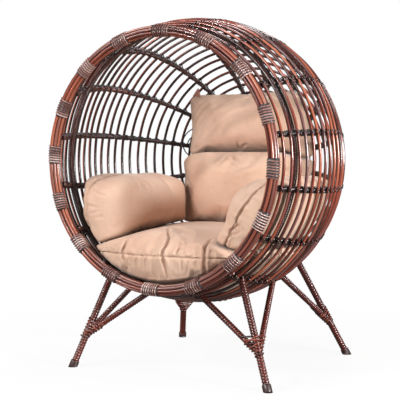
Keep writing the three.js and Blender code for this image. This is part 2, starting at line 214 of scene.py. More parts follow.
class Sweep:
    """Collects tubes into one mesh. Each tube is a path with a section that may change along it."""

    def __init__(self):
        self.places, self.faces, self.uvs, self.count = [], [], [], 0

    def tube(self, path, side, reach, sides=10, closed=False, flat=1.0, start=0.0):
        """path is N points, side a direction across it at each, and reach the section's radius:
        one number, N of them or N by sides. flat squeezes the section across side. UVs hold the
        metres along the path and round the section."""
        path = np.asarray(path, float)
        count = len(path)
        if closed:
            run = np.roll(path, -1, 0) - np.roll(path, 1, 0)
        else:
            run = np.gradient(path, axis=0)
        run /= np.linalg.norm(run, axis=1, keepdims=True)
        side = np.broadcast_to(np.asarray(side, float), path.shape)
        side = side - run * (side * run).sum(1, keepdims=True)
        side /= np.linalg.norm(side, axis=1, keepdims=True)
        other = np.cross(run, side)
        turn = np.arange(sides) * 2 * math.pi / sides
        reach = np.asarray(reach, float)
        reach = reach[:, None] if reach.ndim == 1 else reach
        reach = np.broadcast_to(reach, (count, sides))[..., None]
        ring = np.cos(turn)[None, :, None] * side[:, None] * reach
        ring = ring + np.sin(turn)[None, :, None] * other[:, None] * reach * flat
        places = (path[:, None] + ring).reshape(-1, 3)
        steps = np.linalg.norm(np.diff(path, axis=0, append=path[:1]), axis=1)
        along = start + np.concatenate([[0], np.cumsum(steps)])
        rows = count if closed else count - 1
        i, j = np.meshgrid(np.arange(rows), np.arange(sides), indexing="ij")
        i, j = i.ravel(), j.ravel()
        ahead, beside = (i + 1) % count, (j + 1) % sides
        here, there = i * sides, ahead * sides
        quads = np.stack([here + j, here + beside, there + beside, there + j], 1)
        around = np.arange(sides + 1) / sides
        uvs = np.stack([along[i], around[j], along[i], around[j + 1], along[i + 1], around[j + 1],
                        along[i + 1], around[j]], 1)
        self.faces.append(quads + self.count)
        self.uvs.append(uvs.reshape(-1, 2))
        self.places.append(places)
        self.count += len(places)
        if not closed:
            first, last = self.count - len(places), self.count - sides
            self._cap(path[0], np.arange(sides)[::-1] + first)
            self._cap(path[-1], np.arange(sides) + last)

    def _cap(self, centre, corners):
        """Closes an end with faces between every other corner and the middle."""
        middle_index = self.count
        self.places.append(centre[None])
        self.count += 1
        sides = len(corners)
        quads = [[corners[k], corners[k + 1], corners[(k + 2) % sides], middle_index]
                 for k in range(0, sides, 2)]
        self.faces.append(np.array(quads))
        self.uvs.append(np.zeros((len(quads) * 4, 2)))

    def make(self, name, body, material, slot, *nodes):
        piece = mesh_object(name, np.concatenate(self.places), np.concatenate(self.faces),
                            np.concatenate(self.uvs))
        return dress(piece, body, material, slot, *nodes)


def dress(piece, body, material, slot, *nodes):
    """Gives a finished piece its material and its body, and hides the nodes that it stands for."""
    piece.data.materials.clear()
    piece.data.materials.append(material)
    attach(piece, body)
    if nodes:
        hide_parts(*nodes)
    return piece


def ring_path(radius, place, points):
    """A closed circle about the basket's axis, and the directions away from the axis."""
    turn = np.arange(points) * 2 * math.pi / points
    outward = np.stack([np.sin(turn), np.zeros(points), np.cos(turn)], 1)
    return space_point(radius, place, turn), outward


def uneven(points, seed, waves, size):
    """A smooth closed wobble, the same at every run."""
    chance = np.random.default_rng(seed)
    turn = np.arange(points) * 2 * math.pi / points
    total = np.zeros(points)
    for wave in waves:
        total += chance.normal() * np.sin(wave * turn + chance.uniform(0, 2 * math.pi))
    return size * total / math.sqrt(len(waves))


def wound(count, sides, length, pitch, radius, relief=STRAND_RELIEF):
    """The reach of a tube that is wound with one strand, at each of its points."""
    along = np.linspace(0, length, count)[:, None] / pitch
    share = (along + np.arange(sides)[None] / sides) % 1
    bulge = np.sqrt(np.clip(1 - (2 * share - 1) ** 2, 0, 1))
    return radius - relief * (1 - bulge)


def wound_count(length, pitch):
    points_per_turn = 7
    return int(length / pitch * points_per_turn)


def bar(sweep, start, end, diameter, pitch, sides=14):
    """A straight wound tube."""
    start, end = np.asarray(start), np.asarray(end)
    length = np.linalg.norm(end - start)
    count = wound_count(length, pitch)
    path = start + (end - start) * np.linspace(0, 1, count)[:, None]
    across = np.cross(end - start, (0, 0, 1))
    sweep.tube(path, across, wound(count, sides, length, pitch, diameter / 2), sides)


# ---- materials -----------------------------------------------------------------------------------

BLACK = (0.0, 0.0, 0.0)
WHITE = (1.0, 1.0, 1.0)


class Nodes:
    """Short calls for building a node material."""

    def __init__(self, name):
        self.material = bpy.data.materials.new(name)
        self.material.use_nodes = True
        self.tree = self.material.node_tree
        self.tree.nodes.clear()
        self.shader = self.add("ShaderNodeBsdfPrincipled")
        output = self.add("ShaderNodeOutputMaterial")
        self.link(self.shader, "BSDF", output, "Surface")

    def add(self, kind, **values):
        node = self.tree.nodes.new(kind)
        for key, value in values.items():
            if key in node.inputs:
                node.inputs[key].default_value = value
            else:
                setattr(node, key, value)
        return node

    def link(self, source, output, target, socket):
        self.tree.links.new(source.outputs[output], target.inputs[socket])

    def coordinates(self, output, scale):
        source = self.add("ShaderNodeTexCoord")
        mapping = self.add("ShaderNodeMapping")
        mapping.inputs["Scale"].default_value = scale
        self.link(source, output, mapping, "Vector")
        return mapping

    def noise(self, coordinates, scale, detail=3.0, roughness=0.5):
        node = self.add("ShaderNodeTexNoise", Scale=scale, Detail=detail, Roughness=roughness)
        self.link(coordinates, "Vector", node, "Vector")
        return node

    def ramp(self, source, output, stops, interpolation="LINEAR"):
        node = self.add("ShaderNodeValToRGB")
        node.color_ramp.interpolation = interpolation
        elements = node.color_ramp.elements
        while len(elements) < len(stops):
            elements.new(0.5)
        for element, (place, colour) in zip(elements, stops):
            element.position = place
            element.color = (*colour, 1)
        self.link(source, output, node, "Fac")
        return node

    def mix(self, kind, share, first, second):
        """Mixes two colours. share is a number or a (node, output) pair."""
        node = self.add("ShaderNodeMix", data_type="RGBA", blend_type=kind)
        if isinstance(share, tuple):
            self.tree.links.new(share[0].outputs[share[1]], node.inputs[0])
        else:
            node.inputs[0].default_value = share
        for value, socket in ((first, 6), (second, 7)):
            if isinstance(value, tuple) and isinstance(value[0], float):
                node.inputs[socket].default_value = (*value, 1)
            else:
                self.tree.links.new(value[0].outputs[value[1]], node.inputs[socket])
        return node

    def painted_shade_in_gaps(self, colour, reach, strength):
        """Painted shade: deepens a colour where the surface is hemmed in, as in grooves and between
        pieces.
        """
        openness = self.add("ShaderNodeAmbientOcclusion", Distance=reach, samples=12)
        shade = self.ramp(openness, "AO", [(0.15, BLACK), (0.8, WHITE)])
        return self.mix("MULTIPLY", strength, colour, (shade, 0))

    def bump(self, source, output, strength, distance, onto=None):
        node = self.add("ShaderNodeBump", Strength=strength, Distance=distance)
        self.link(source, output, node, "Height")
        if onto is not None:
            self.link(onto, "Normal", node, "Normal")
        self.link(node, "Normal", self.shader, "Normal")
        return node


def srgb(red, green, blue):
    """A colour written in the usual 0 to 255 numbers, as linear light."""
    def linear(value):
        value /= 255
        return value / 12.92 if value <= 0.04045 else ((value + 0.055) / 1.055) ** 2.4
    return linear(float(red)), linear(float(green)), linear(float(blue))


def cane_material(name, dark, mid, light, cool=None, inner=None, roughness=0.3, pitch=None):
    """Glossy resin cane: streaks along it, slow changes from cane to cane, and painted shade in its
    grooves and gaps. cool is the colour of the greyer canes, and inner a painted shade colour for
    the side which faces the inside of the basket's ring. pitch is the step of a wound strand, whose
    edges get painted shade."""
    nodes = Nodes(name)
    slow = nodes.noise(nodes.coordinates("UV", (1.3, 0.4, 1)), 1.0, detail=2)
    streak = nodes.noise(nodes.coordinates("UV", (6, 7, 1)), 1.6, detail=5, roughness=0.65)
    base = nodes.ramp(slow, "Fac", [(0.40, dark), (0.5, mid), (0.60, light)])
    grain = nodes.ramp(streak, "Fac", [(0.3, srgb(150, 140, 140)), (0.62, srgb(255, 255, 255))])
    colour = nodes.mix("MULTIPLY", 0.75, (base, 0), (grain, 0))
    if cool is not None:
        other = nodes.noise(nodes.coordinates("UV", (0.8, 0.1, 1)), 1.7, detail=1)
        greyer = nodes.ramp(other, "Fac", [(0.52, BLACK), (0.60, (0.8, 0.8, 0.8))])
        colour = nodes.mix("MIX", (greyer, 0), (colour, 2), cool)
    # painted shade: the side of each cane that faces the inside of the ring takes the dark inner
    # colour
    if inner is not None:
        around = nodes.add("ShaderNodeSeparateXYZ")
        nodes.link(nodes.coordinates("UV", (1, 1, 1)), "Vector", around, "Vector")
        inward_painted_shade = nodes.ramp(around, "Y", [(0.23, BLACK), (0.33, WHITE),
                                          (0.67, WHITE), (0.77, BLACK)])
        colour = nodes.mix("MIX", (inward_painted_shade, 0), (colour, 2), inner)
    # painted shade along the edges of each wound turn
    if pitch is not None:
        colour = nodes.mix("MULTIPLY", 0.85, (colour, 2), (painted_shade_at_strand_edges(nodes, pitch), 0))
    # painted shade in grooves and where canes touch
    colour = nodes.painted_shade_in_gaps((colour, 2), 0.012, 0.75)
    nodes.link(colour, 2, nodes.shader, "Base Color")
    gloss = nodes.add("ShaderNodeMapRange",
                      **{"To Min": roughness - 0.07, "To Max": roughness + 0.13})
    nodes.link(streak, "Fac", gloss, "Value")
    nodes.link(gloss, "Result", nodes.shader, "Roughness")
    nodes.shader.inputs["Specular IOR Level"].default_value = 0.8
    nodes.shader.inputs["Coat Weight"].default_value = 0.5
    nodes.shader.inputs["Coat Roughness"].default_value = 0.12
    nodes.bump(streak, "Fac", 0.35, 0.0006)
    return nodes.material


def painted_shade_at_strand_edges(nodes, pitch):
    """Painted shade along both edges of a strand that is wound round a tube, where its turns meet.
    """
    along = nodes.add("ShaderNodeSeparateXYZ")
    nodes.link(nodes.coordinates("UV", (1 / pitch, 1, 1)), "Vector", along, "Vector")
    total = nodes.add("ShaderNodeMath", operation="ADD")
    nodes.link(along, "X", total, 0)
    nodes.link(along, "Y", total, 1)
    share = nodes.add("ShaderNodeMath", operation="FRACT")
    nodes.link(total, "Value", share, 0)
    return nodes.ramp(share, "Value", [(0.0, srgb(30, 20, 20)), (0.3, srgb(225, 215, 215)),
                                       (0.5, srgb(255, 255, 255)), (0.7, srgb(225, 215, 215)),
                                       (1.0, srgb(30, 20, 20))])


def fabric_material(name, pale, mid, deep):
    """Plain-woven polyester: a fine weave, soft blotches, a little sheen, and painted shade in
    creases and between pieces.
    """
    nodes = Nodes(name)
    coordinates = nodes.coordinates("Object", (1, 1, 1))
    blotch = nodes.noise(coordinates, 7.0, detail=3)
    colour = nodes.ramp(blotch, "Fac", [(0.3, deep), (0.5, mid), (0.72, pale)])
    threads = []
    for stretch in ((1300, 90, 90), (90, 1300, 90), (90, 90, 1300)):
        thread = nodes.noise(nodes.coordinates("Object", stretch), 1.0, detail=1)
        threads.append(nodes.ramp(thread, "Fac", [(0.35, BLACK), (0.65, WHITE)]))
    first = nodes.mix("MIX", 0.5, (threads[0], 0), (threads[1], 0))
    weave = nodes.mix("MIX", 0.33, (first, 2), (threads[2], 0))
    shade = nodes.mix("MULTIPLY", 0.12, (colour, 0), (weave, 2))
    # painted shade in creases, seams and where cushions press on each other
    shade = nodes.painted_shade_in_gaps((shade, 2), 0.040, 0.55)
    nodes.link(shade, 2, nodes.shader, "Base Color")
    nodes.shader.inputs["Roughness"].default_value = 0.88
    nodes.shader.inputs["Sheen Weight"].default_value = 0.25
    nodes.shader.inputs["Sheen Roughness"].default_value = 0.5
    nodes.shader.inputs["Specular IOR Level"].default_value = 0.25
    fine = nodes.bump(weave, 2, 0.25, 0.0003)
    rumple = nodes.noise(coordinates, 34.0, detail=2)
    nodes.bump(rumple, "Fac", 0.25, 0.004, onto=fine)
    return nodes.material


# inner is painted shade for the canes' unlit inward side
CANE = cane_material("cane", srgb(66, 22, 17), srgb(150, 62, 42), srgb(214, 118, 84),
                     cool=srgb(128, 92, 92), inner=srgb(18, 6, 6), roughness=0.2)
RIM_CANE = cane_material("rim_cane", srgb(88, 32, 24), srgb(154, 70, 49), srgb(208, 122, 92),
                         cool=srgb(136, 84, 74), inner=srgb(16, 6, 6), roughness=0.22)
# painted shade: a near-black core that shows only in the gaps between rim canes and between binding
# turns
PAINTED_SHADE_CORE = cane_material("rim_core_painted_shade", srgb(16, 6, 6), srgb(20, 8, 8), srgb(26, 10, 10), roughness=0.6)
STRAND = cane_material("binding_strand", srgb(124, 72, 64), srgb(176, 122, 110),
                       srgb(236, 200, 190), roughness=0.18)
WRAPPED = cane_material("wrapped_frame", srgb(58, 21, 17), srgb(96, 38, 30), srgb(140, 64, 50),
                        roughness=0.24, pitch=FRAME_STRAND_PITCH)
KNOT = cane_material("knot_strand", srgb(28, 10, 10), srgb(46, 18, 17), srgb(84, 38, 33),
                     roughness=0.24)
WRAPPED_LEG = cane_material("wrapped_leg", srgb(104, 34, 24), srgb(172, 70, 47), srgb(228, 126, 94),
                            roughness=0.2, pitch=LEG_STRAND_PITCH)
LASHING = cane_material("lashing_strand", srgb(70, 25, 19), srgb(122, 50, 36), srgb(186, 96, 72),
                        roughness=0.22)
FOOT = cane_material("foot_cap", srgb(54, 19, 16), srgb(74, 28, 23), srgb(94, 38, 30),
                     roughness=0.45)
FABRIC = fabric_material("cushion_fabric", srgb(236, 200, 176), srgb(230, 191, 166),
                         srgb(222, 181, 156))
STRAP = fabric_material("cushion_strap", srgb(204, 150, 134), srgb(184, 126, 110),
                        srgb(156, 98, 84))
CORD = fabric_material("tie_cord", srgb(66, 34, 28), srgb(52, 26, 22), srgb(40, 20, 18))

# ---- basket --------------------------------------------------------------------------------------

RING_POINTS = 192
FIRST_CANE = 0.3  # how far the first rim cane is turned, in steps between canes
CANE_WOBBLE = 0.0005
CORE_COVER = 0.0006  # how far the core stands out under a binding
CORE_OVERHANG = 0.002
RIB_START = 0.018  # from the rim
KNOT_LEAN = 0.62  # radians
KNOT_STRETCH = 1.12
KNOT_SQUARENESS = 0.72
HUB_CANE = 0.0105


def binding_turn(number):
    return BINDING_TURN + number * 2 * math.pi / BINDING_COUNT


def make_rim():
    radius, place = ring_of("rim_bundle")
    canes = Sweep()
    lay = RIM_BUNDLE / 2 - RIM_CANE_DIAMETER / 2
    for number in range(RIM_CANES):
        angle = (number + FIRST_CANE) * 2 * math.pi / RIM_CANES
        wobble = uneven(RING_POINTS, 100 + number, (2, 3, 5, 9), CANE_WOBBLE)
        reach = radius + lay * math.cos(angle) + wobble
        wobble = uneven(RING_POINTS, 200 + number, (2, 4, 7), CANE_WOBBLE)
        across = place + lay * math.sin(angle) + wobble
        path, outward = ring_path(reach, across, RING_POINTS)
        facing = outward * math.cos(angle) + np.array([0, math.sin(angle), 0])
        canes.tube(path, facing, RIM_CANE_DIAMETER / 2, 12, closed=True, start=number * 3.1)
    canes.make("rim_canes", "frame", RIM_CANE, "cane", "rim_bundle")
    # the bundle's core and the sleeves under the bindings are near-black, painted shade for the
    # gaps between canes and turns
    painted_shade_core = Sweep()
    path, outward = ring_path(radius, place, RING_POINTS)
    painted_shade_core.tube(path, outward, lay - RIM_CANE_DIAMETER / 4, 12, closed=True)
    for number in range(BINDING_COUNT):
        covered = np.linspace(-0.5, 0.5, 9) * (BINDING_LENGTH + CORE_OVERHANG)
        path = space_point(radius, place, binding_turn(number) + covered / radius)
        painted_shade_core.tube(path, path - np.array(middle), RIM_BUNDLE / 2 + CORE_COVER, 16)
    painted_shade_core.make("rim_core_painted_shade", "frame", PAINTED_SHADE_CORE, "cane")
    bindings = Sweep()
    points = int(BINDING_TURNS * 48)
    wrap = np.linspace(0, BINDING_TURNS * 2 * math.pi, points)
    sunk = BINDING_DIP * (1 - np.cos(RIM_CANES * wrap - FIRST_CANE * 2 * math.pi)) / 2
    lift = RIM_BUNDLE / 2 + BINDING_THICKNESS * 0.25 - sunk
    for number in range(BINDING_COUNT):
        turn = binding_turn(number) + np.linspace(-0.5, 0.5, points) * BINDING_LENGTH / radius
        path = space_point(radius + lift * np.cos(wrap), place + lift * np.sin(wrap), turn)
        ring_middle = space_point(radius, place, turn)
        bindings.tube(path, path - ring_middle, BINDING_THICKNESS / 2, 8,
                      flat=BINDING_STRAND / BINDING_THICKNESS, start=number * 1.7)
    bindings.make("rim_bindings", "frame", STRAND, "wrapped_frame")


def make_hoops():
    for number in range(1, HOOP_COUNT + 1):
        node = f"hoop_{number:02d}"
        radius, place = ring_of(node)
        points = RING_POINTS if radius > shell_radius / 2 else RING_POINTS // 2
        path, outward = ring_path(radius + uneven(points, number, (3, 5, 8, 13), 0.0007),
                                  place + uneven(points, 50 + number, (2, 5, 9), 0.0009), points)
        hoop = Sweep()
        hoop.tube(path, outward, VISIBLE_CANE / 2, 10, closed=True, start=number * 2.3)
        hoop.make(f"cane_{node}", "frame", CANE, "cane", node)
    radius, place = ring_of("main_hoop")
    length = 2 * math.pi * radius
    count = wound_count(length, FRAME_STRAND_PITCH)
    turns = round(length / FRAME_STRAND_PITCH)
    path, outward = ring_path(radius, place, count)
    reach = wound(count, 12, length * (1 - 1 / count), length / turns, MAIN_HOOP_DIAMETER / 2)
    main = Sweep()
    main.tube(path, outward, reach, 12, closed=True)
    main.make("wound_main_hoop", "frame", WRAPPED, "wrapped_frame", "main_hoop")


def rib_turn(number):
    return (number - 0.5) * 2 * math.pi / RIB_COUNT


def make_ribs():
    inset = HOOP_DIAMETER / 2 + FIT_GAP + RIB_DIAMETER / 2
    hub_radius = (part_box("back_hub")[1].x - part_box("back_hub")[0].x) / 2
    end = shell_distance[-1] - hub_radius
    length = end - RIB_START
    count = wound_count(length, FRAME_STRAND_PITCH)
    radius, place = section_point(np.linspace(RIB_START, end, count), inset)
    crossings = [ring_of(f"hoop_{number:02d}") for number in range(1, HOOP_COUNT + 1)]
    for number in range(1, RIB_COUNT + 1):
        turn = rib_turn(number)
        path = space_point(radius, place, turn)
        beside = np.array([math.cos(turn), 0, -math.sin(turn)])
        rib = Sweep()
        rib.tube(path, beside, wound(count, 12, length, FRAME_STRAND_PITCH, RIB_DIAMETER / 2), 12,
                 start=number * 250 * FRAME_STRAND_PITCH)
        rib.make(f"wound_rib_{number:02d}", "frame", WRAPPED, "wrapped_frame", f"rib_{number:02d}")
        make_knots(number, turn, beside, crossings, inset)


def make_knots(number, turn, beside, crossings, inset):
    """The crossed loops that tie each hoop to a rib."""
    points = 22
    around = np.arange(points) * 2 * math.pi / points
    knots = Sweep()
    depth = (HOOP_DIAMETER / 2 + inset + RIB_DIAMETER / 2 + KNOT_STRAND / 2) / 2
    half_width = RIB_DIAMETER / 2 + KNOT_STRAND / 4
    for index, (radius, place) in enumerate(crossings):
        hoop_middle = space_point(radius, place, turn)
        outward = np.array([math.sin(turn) * radius, place, math.cos(turn) * radius])
        if place < 0:
            outward[1] *= (shell_radius / (shell_radius + FRONT_STRETCH)) ** 2
        outward /= np.linalg.norm(outward)
        along = np.cross(outward, beside)
        centre = hoop_middle + outward * (HOOP_DIAMETER / 2 + KNOT_STRAND / 4 - depth)
        for lean in (-1, 1):
            diagonal = beside * math.cos(KNOT_LEAN) + along * math.sin(KNOT_LEAN) * lean
            path = centre + (outward * depth) * soft_square(np.cos(around))[:, None]
            reach = diagonal * half_width * KNOT_STRETCH
            path = path + reach * soft_square(np.sin(around))[:, None]
            knots.tube(path, np.cross(diagonal, outward), KNOT_STRAND / 2, 6, closed=True,
                       start=index * 0.9 + number)
    knots.make(f"knots_{number:02d}", "frame", KNOT, "wrapped_frame")


def soft_square(values):
    """Turns a circle's coordinates into those of a rounded square."""
    return np.sign(values) * np.abs(values) ** KNOT_SQUARENESS


def make_hub():
    """Canes coiled inside a wound ring, where the ribs meet at the back."""
    low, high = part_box("back_hub")
    radius = (high.x - low.x) / 2 * math.cos(math.pi / RIB_COUNT)
    thickness = high.y - low.y
    place = (high.y + low.y) / 2 - middle.y
    edge = Sweep()
    length = 2 * math.pi * (radius - thickness / 2)
    turns = round(length / FRAME_STRAND_PITCH)
    count = turns * 7
    path, outward = ring_path(radius - thickness / 2, place, count)
    reach = wound(count, 14, length * (1 - 1 / count), length / turns, thickness / 2)
    edge.tube(path, outward, reach, 14, closed=True)
    edge.make("hub_edge", "frame", WRAPPED, "wrapped_frame", "back_hub")
    coil = Sweep()
    reach = radius - thickness - HUB_CANE / 2
    while reach > HUB_CANE:
        path, outward = ring_path(reach, place, 64)
        coil.tube(path, outward, HUB_CANE / 2, 8, closed=True, start=reach * 90)
        reach -= HUB_CANE * 0.96
    coil.make("hub_coil", "frame", CANE, "cane")
    button = Sweep()
    ends = np.linspace(-1, 1, 9)
    path = np.array([[middle.x, middle.y + place + e * HUB_CANE * 0.75, middle.z] for e in ends])
    button.tube(path, (1, 0, 0), HUB_CANE * np.sqrt(np.clip(1.02 - ends**2, 0, 1)), 16)
    button.make("hub_button", "frame", KNOT, "wrapped_frame")


# ---- legs ----------------------------------------------------------------------------------------


def tube_top(top, side):
    """Where a tube ends, just under the surface of the basket."""
    hoop, turn = top
    radius, place = ring_of(f"hoop_{hoop:02d}")
    return space_point(radius, place, math.radians(turn) * side)


def plane_crossing(start, end, origin, normal):
    run = end - start
    return start + run * (np.dot(origin - start, normal) / np.dot(run, normal))


def lashing_loop(sweep, tubes, origin, normal, seed):
    """A strand drawn tight round several tubes, in a plane."""
    across = np.cross(normal, (0.0, 0.0, 1.0))
    across /= np.linalg.norm(across)
    other = np.cross(normal, across)
    flat_points = []
    for start, end, diameter in tubes:
        centre = plane_crossing(start, end, origin, normal) - origin
        for turn in np.arange(16) * math.pi / 8:
            reach = diameter / 2 + KNOT_STRAND * 0.3
            flat_points.append((centre @ across + reach * math.cos(turn),
                                centre @ other + reach * math.sin(turn)))
    hull = np.array([flat_points[k] for k in convex_hull_2d(flat_points)])
    closed = np.vstack([hull, hull[:1]])
    along = np.concatenate([[0], np.cumsum(np.linalg.norm(np.diff(closed, axis=0), axis=1))])
    steps = np.linspace(0, along[-1], 40, endpoint=False)
    outline = np.stack([np.interp(steps, along, closed[:, k]) for k in (0, 1)], 1)
    path = origin + outline[:, :1] * across + outline[:, 1:] * other
    sweep.tube(path, np.broadcast_to(normal, path.shape), KNOT_STRAND * 0.62, 8, closed=True,
               start=seed * 0.7)


def make_leg(end_name, side_name, side):
    plan = LEGS[end_name]
    name = f"{end_name}_{side_name}"
    foot = np.array([side * plan["foot"][0], middle.y + plan["foot"][1], 0])
    top = tube_top(plan["leg"], side)
    axis = (top - foot) / np.linalg.norm(top - foot)
    brace_end = foot + (top - foot) * BRACE_PLACE
    inner_end = brace_end - np.array([side * BRACE_OFFSET, 0, 0])
    side_end = brace_end - np.array([0, math.copysign(BRACE_OFFSET, plan["foot"][1]), 0])
    tubes = [
        (foot + axis * FOOT_LENGTH * 0.6, top, LEG_DIAMETER),
        (inner_end, tube_top(plan["inner"], side), BRACE_DIAMETER),
        (side_end, tube_top(plan["side"], side), BRACE_DIAMETER),
    ]
    leg = Sweep()
    for start, end, diameter in tubes:
        bar(leg, start, end, diameter, LEG_STRAND_PITCH)
    leg.make(f"wound_leg_{name}", "frame", WRAPPED_LEG, "wrapped_leg", f"leg_{name}")
    lashing = Sweep()
    joint = foot + (top - foot) * (LASHING_PLACE - 0.015)
    lean = np.cross(axis, (0, 1, 0))
    for loop in range(LASHING_LOOPS):
        shift = (loop / (LASHING_LOOPS - 1) - 0.5) * LASHING_LENGTH
        tilt = LASHING_LEAN * (-1) ** loop
        lashing_loop(lashing, tubes, joint + axis * shift, axis + lean * tilt, loop)
    lashing.make(f"lashing_{name}", "frame", LASHING, "wrapped_leg")
    make_foot(name, foot, axis)


def make_foot(name, foot, axis):
    """A moulded cap with rounded edges, cut flat on the floor."""
    edge = 0.004
    heights = np.array([-0.012, 0.002, FOOT_LENGTH - edge, FOOT_LENGTH - edge * 0.3, FOOT_LENGTH])
    reach = np.array([1.0, 1.0, 1.0, 0.94, 0.84]) * FOOT_DIAMETER / 2
    cap = Sweep()
    cap.tube(foot + axis * heights[:, None], np.cross(axis, (0, 1, 0)), reach, 24)
    for places in cap.places:
        below = places[:, 2] < 0
        places[below] -= axis * (places[below, 2] / axis[2])[:, None]
    cap.make(f"cap_{name}", "frame", FOOT, "foot_cap", f"foot_{name}")


# ---- cushions ------------------------------------------------------------------------------------

# Lengths here are from the middle of the basket: x to the side, y to the back and z up.
GRID_SPACING = 0.0068
SEAT_SIDE_FALL = math.radians(12)
SEAT_FRONT_FALL = math.radians(6)
SEAT_EDGE = (0.150, 0.040)  # to the side and to the back, where the seat's top starts to fall
SWELL_MIDDLE = -0.062
SWELL_REACH = 0.235
SWELL_HEIGHT = 0.015
SWELL_END = 0.16  # to the back, where the swell starts to rise, and the length of its rise
SWELL_RISE = 0.30
LEDGE_HEIGHT = 0.009  # where the seat bulges up in front of the back cushion
LEDGE_END = 0.215
LEDGE_RISE = 0.03
SLOPE_BLEND = 150  # how sharply the seat's top turns into its slopes
SEAM_LEVEL_REACH = 0.10  # to the side, where the line under the headrest starts to drop
MAIN_HOOP_FROM_RIM = 0.112
RIB_WEB = 0.004

ribs_inset = HOOP_DIAMETER / 2 + FIT_GAP + RIB_DIAMETER
ribs_inside = shell_radius - ribs_inset
seat_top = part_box("back_cushion")[0].z - middle.z
back_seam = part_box("headrest_cushion")[0].z - middle.z
arm_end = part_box("arm_cushion_left")[1].y - middle.y
hub_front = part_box("back_hub")[0].y - middle.y


# Each limit turns points into numbers that are negative where the cushion may be.


def inside_ribs(gap):
    inset = ribs_inset + gap

    def limit(places):
        front = shell_radius + FRONT_STRETCH - inset
        radius = shell_radius - inset
        depth = places[:, 1] / np.where(places[:, 1] < 0, front, radius)
        return np.sqrt((places[:, 0] / radius) ** 2 + depth**2 + (places[:, 2] / radius) ** 2) - 1

    return limit


def inside_main_hoop(gap):
    inset = HOOP_DIAMETER / 2 + 2 * FIT_GAP + RIB_WEB + MAIN_HOOP_DIAMETER + gap
    touch = section_point(MAIN_HOOP_FROM_RIM, inset)
    outward = section_point(MAIN_HOOP_FROM_RIM, inset - 0.001) - touch

    def limit(places):
        radius = np.hypot(places[:, 0], places[:, 2])
        return (radius - touch[0]) * outward[0] + (places[:, 1] - touch[1]) * outward[1]

    return limit


def seat_slope(places):
    outward = np.abs(places[:, 0]) - SEAT_EDGE[0]
    forward = SEAT_EDGE[1] - places[:, 1]
    return seat_top - math.tan(SEAT_SIDE_FALL) * outward - math.tan(SEAT_FRONT_FALL) * forward


def seam_height(places):
    """The line between back and headrest drops towards both of its ends."""
    outward = np.maximum(np.abs(places[:, 0]) - SEAM_LEVEL_REACH, 0)
    return back_seam - 0.5 * outward**2 - 8 * outward**3


def below(height, gap):
    return lambda places: places[:, 2] - height(places) + gap


def above(height, gap):
    return lambda places: height(places) + gap - places[:, 2]


def in_front_of(depth):
    return lambda places: places[:, 1] - depth


def level(height):
    return lambda places: height


def off_corner(distance):
    """Cuts the outer front corner of an arm cushion away."""
    angle = math.radians(CAMERA_AZIMUTH)
    across, forward = math.cos(angle), math.sin(angle)
    return lambda places: -places[:, 0] * across - places[:, 1] * forward - distance


def seat_swell(places):
    """The seat's top, which swells up between the arm cushions that press on it."""
    across = np.clip(1 - ((places[:, 0] - SWELL_MIDDLE) / SWELL_REACH) ** 2, 0, 1)
    forward = np.clip((SWELL_END - places[:, 1]) / SWELL_RISE, 0, 1)
    falls = np.exp(SLOPE_BLEND * (seat_top - seat_slope(places)))
    rise = SWELL_HEIGHT * across * forward
    before_back = np.clip((LEDGE_END - places[:, 1]) / LEDGE_RISE, 0, 1)
    ledge = LEDGE_HEIGHT * np.sqrt(across) * before_back
    return seat_top - np.log(1 + falls) / SLOPE_BLEND + np.maximum(rise, ledge)


# A pillow is a rounded box. outline and crown say how square it is, seen flat and from its edge,
# and their rear_ values are added towards the back. thin is the axis across its panels, and seam
# the plane of its seam: a direction and a distance. pull draws its sides in, rounding is how often
# it is smoothed, and slack is the cloth to spare.
PLAIN = {"rear_outline": 0, "rear_crown": 0, "upper_share": 1, "pull": 0, "lean": 0, "belly": 0}
CUSHIONS = {
    "seat_pillow": {
        **PLAIN, "node": "seat_cushion", "body": "seat", "middle": (0, -0.020, -0.300),
        "reach": (0.357, 0.292, 0.174), "thin": 2, "outline": 2.7, "crown": 2.4, "rear_crown": 2.0,
        "upper_share": 0.53, "pull": 0.02, "rounding": 16, "slack": 0.035,
        "seam": ((0, 0, 1), -0.298),
        "limits": [inside_ribs(0.001), inside_main_hoop(0.001), below(seat_swell, 0.0003)],
    },
    "arm_bolster_left": {
        **PLAIN, "node": "arm_cushion_left", "body": "arm_left", "middle": (-0.330, -0.006, -0.212),
        "reach": (0.152, 0.240, 0.158), "thin": 0, "outline": 3.8, "crown": 7, "rear_outline": 2.7,
        "rounding": 5, "slack": 0.015, "seam": ((1, 0, 0.06), -0.322),
        "limits": [inside_ribs(0.020), inside_main_hoop(0.002), above(seat_swell, 0.001),
                   in_front_of(arm_end), off_corner(0.405)],
    },
    "arm_bolster_right": {
        **PLAIN, "node": "arm_cushion_right", "body": "arm_right",
        "middle": (0.330, -0.006, -0.212), "reach": (0.160, 0.240, 0.158), "thin": 0,
        "outline": 3.4, "crown": 4.2, "lean": 0.28, "belly": 0.33, "rounding": 8, "slack": 0.02,
        "seam": ((1, 0, -0.55), 0.357),
        "limits": [inside_ribs(0.020), inside_main_hoop(0.002), above(seat_swell, 0.001),
                   in_front_of(arm_end)],
    },
    "back_pillow": {
        **PLAIN, "node": "back_cushion", "body": "back", "middle": (0, 0.322, -0.108),
        "reach": (0.258, 0.122, 0.190), "thin": 1, "outline": 6, "crown": 3.8, "pull": 0.06,
        "rounding": 6, "slack": 0.012, "seam": ((0, 1, 0), 0.300),
        "limits": [inside_ribs(0.001), in_front_of(hub_front - 0.001),
                   above(level(seat_top), 0.0003), below(seam_height, 0.0005)],
    },
    "headrest_pillow": {
        **PLAIN, "node": "headrest_cushion", "body": "headrest", "middle": (0, 0.348, 0.128),
        "reach": (0.252, 0.088, 0.122), "thin": 1, "outline": 10, "crown": 3.4, "pull": 0.05,
        "rounding": 4, "slack": 0.012, "seam": ((0, 1, 0), 0.345),
        "limits": [inside_ribs(0.005), in_front_of(hub_front - 0.001), above(seam_height, 0.0005)],
    },
}


